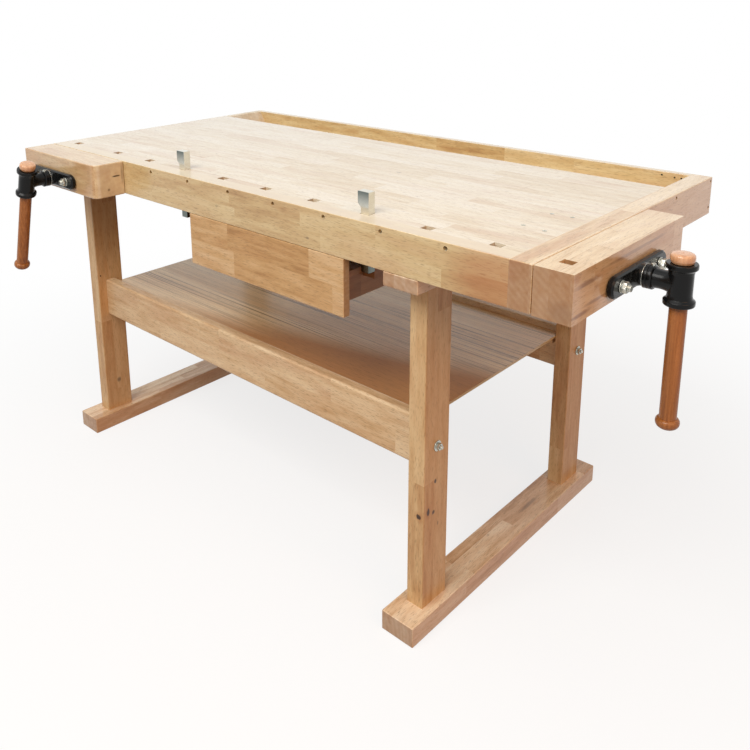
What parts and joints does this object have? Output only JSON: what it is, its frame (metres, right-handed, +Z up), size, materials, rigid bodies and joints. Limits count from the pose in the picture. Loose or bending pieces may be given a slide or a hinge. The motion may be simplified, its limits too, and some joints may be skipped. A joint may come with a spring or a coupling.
{
  "type": "woodworking bench with vises",
  "caption": "Joiner's workbench with a front vise and an end vise, a row of dog holes with steel dogs, a rear tool tray, a hung drawer and a lower shelf on a trestle base.",
  "frame": {"origin": "on the floor below the middle of the box around the whole bench", "axes": "+X to the right along the bench, +Y from the front to the back rail, +Z up"},
  "size_m": [1.674, 0.952, 0.904],
  "materials": {
    "top_wood": "sanded and clear lacquered laminated rubberwood, pale",
    "frame_wood": "sanded and clear lacquered laminated rubberwood, tan",
    "shelf_plywood": "plywood with an open grained brown veneer",
    "black_cast_iron": "black semi-gloss painted casting",
    "zinc_steel": "bright zinc plated steel",
    "handle_wood": "turned hardwood bar, orange-brown varnish",
    "knob_wood": "turned hardwood knob, orange varnish"
  },
  "bodies": {
    "bench": {"work_top": "top_wood", "dog_strip": "top_wood", "front_apron": "frame_wood", "end_cap": "frame_wood", "back_rail": "frame_wood", "tray_wall": "frame_wood", "tray_floor": "frame_wood", "tray_ramp": "top_wood", "left_foot": "frame_wood", "left_bearer": "frame_wood", "left_front_leg": "frame_wood", "left_back_leg": "frame_wood", "left_front_bolt": "zinc_steel", "left_back_bolt": "zinc_steel", "left_drawer_hanger": "frame_wood", "right_foot": "frame_wood", "right_bearer": "frame_wood", "right_front_leg": "frame_wood", "right_back_leg": "frame_wood", "right_front_bolt": "zinc_steel", "right_back_bolt": "zinc_steel", "right_drawer_hanger": "frame_wood", "front_stretcher": "frame_wood", "back_stretcher": "frame_wood", "front_shelf_cleat": "frame_wood", "back_shelf_cleat": "frame_wood", "shelf": "shelf_plywood", "front_vise_bracket": "black_cast_iron", "end_vise_bracket": "black_cast_iron"},
    "drawer": {"drawer_left_side": "frame_wood", "drawer_right_side": "frame_wood", "drawer_front": "frame_wood", "drawer_back": "frame_wood", "drawer_bottom": "shelf_plywood"},
    "left_dog": {"left_dog": "zinc_steel", "left_dog_spring": "zinc_steel"},
    "right_dog": {"right_dog": "zinc_steel", "right_dog_spring": "zinc_steel"},
    "front_jaw": {"front_vise_jaw": "top_wood", "front_vise_plate": "black_cast_iron", "front_vise_rod_a": "zinc_steel", "front_vise_rod_b": "zinc_steel", "front_vise_nut_a": "zinc_steel", "front_vise_nut_b": "zinc_steel"},
    "front_screw": {"front_vise_spindle": "zinc_steel", "front_vise_collar": "black_cast_iron", "front_vise_hub": "black_cast_iron"},
    "front_handle": {"front_vise_handle": "handle_wood", "front_vise_knob": "knob_wood"},
    "end_jaw": {"end_vise_jaw": "top_wood", "end_vise_plate": "black_cast_iron", "end_vise_rod_a": "zinc_steel", "end_vise_rod_b": "zinc_steel", "end_vise_nut_a": "zinc_steel", "end_vise_nut_b": "zinc_steel"},
    "end_screw": {"end_vise_spindle": "zinc_steel", "end_vise_collar": "black_cast_iron", "end_vise_hub": "black_cast_iron"},
    "end_handle": {"end_vise_handle": "handle_wood", "end_vise_knob": "knob_wood"}
  },
  "joints": [
    {"name": "front_jaw_slide", "type": "slide", "parent": "bench", "child": "front_jaw", "axis": [0, -1, 0], "range_m": [0, 0.15]},
    {"name": "front_screw_turn", "type": "hinge", "parent": "front_jaw", "child": "front_screw", "pos_m": [-0.6811, -0.29, 0.805], "axis": [0, -1, 0], "range_deg": [0, 9000]},
    {"name": "front_handle_slide", "type": "slide", "parent": "front_screw", "child": "front_handle", "axis": [0.309, 0, 0.9511], "range_m": [0, 0.205]},
    {"name": "end_jaw_slide", "type": "slide", "parent": "bench", "child": "end_jaw", "axis": [1, 0, 0], "range_m": [0, 0.15]},
    {"name": "end_screw_turn", "type": "hinge", "parent": "end_jaw", "child": "end_screw", "pos_m": [0.663, -0.074, 0.805], "axis": [1, 0, 0], "range_deg": [0, 9000]},
    {"name": "end_handle_slide", "type": "slide", "parent": "end_screw", "child": "end_handle", "axis": [0, 0, 1], "range_m": [0, 0.205]},
    {"name": "drawer_slide", "type": "slide", "parent": "bench", "child": "drawer", "axis": [0, -1, 0], "range_m": [0, 0.3]},
    {"name": "left_dog_lift", "type": "slide", "parent": "bench", "child": "left_dog", "axis": [0, 0, 1], "range_m": [-0.012, 0.06]},
    {"name": "right_dog_lift", "type": "slide", "parent": "bench", "child": "right_dog", "axis": [0, 0, 1], "range_m": [-0.012, 0.06]}
  ],
  "couplings": [
    {"joint": "front_jaw_slide", "follows": "front_screw_turn", "m_per_rad": 0.00095493},
    {"joint": "end_jaw_slide", "follows": "end_screw_turn", "m_per_rad": 0.00095493}
  ]
}
